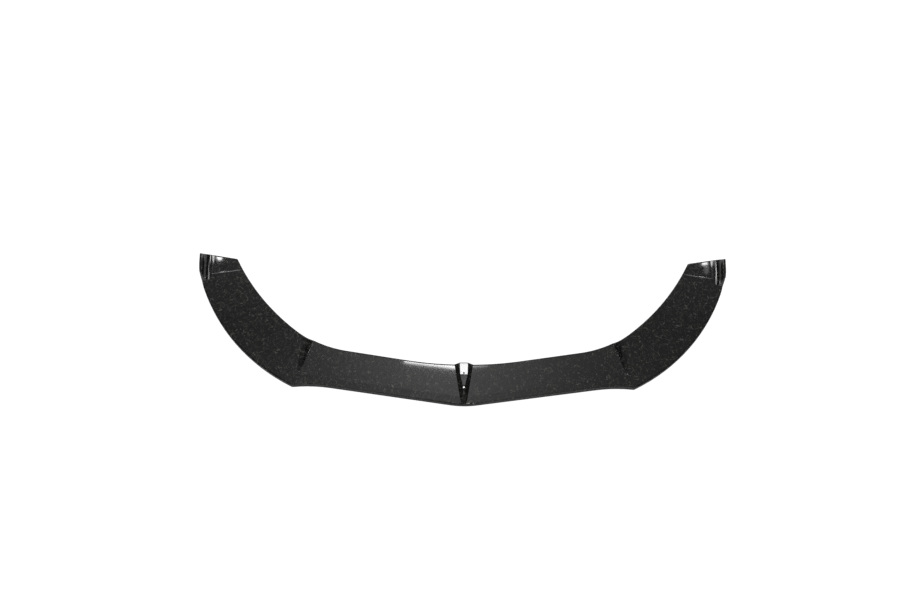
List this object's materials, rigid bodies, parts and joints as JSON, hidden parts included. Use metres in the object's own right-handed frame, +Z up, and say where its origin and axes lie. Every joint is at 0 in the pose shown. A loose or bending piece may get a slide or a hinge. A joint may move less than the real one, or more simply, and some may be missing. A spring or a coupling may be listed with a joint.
{
  "type": "front splitter lip",
  "caption": "Thin moulded front splitter lip for a car bumper: swept wings, raised centre with a ramped keel, upturned ends with curved fences and a rim turned down all round.",
  "frame": {"origin": "middle of the bounding box, on the plane that the foot of the rim stands on", "axes": "+X to the right end seen from in front, +Y to the rear, +Z up"},
  "size_m": [1.768, 0.5259, 0.0594],
  "materials": {
    "lip": "chopped carbon fibre under a gloss clear coat"
  },
  "bodies": {
    "root": {"splitter_lip": "lip"}
  },
  "joints": []
}
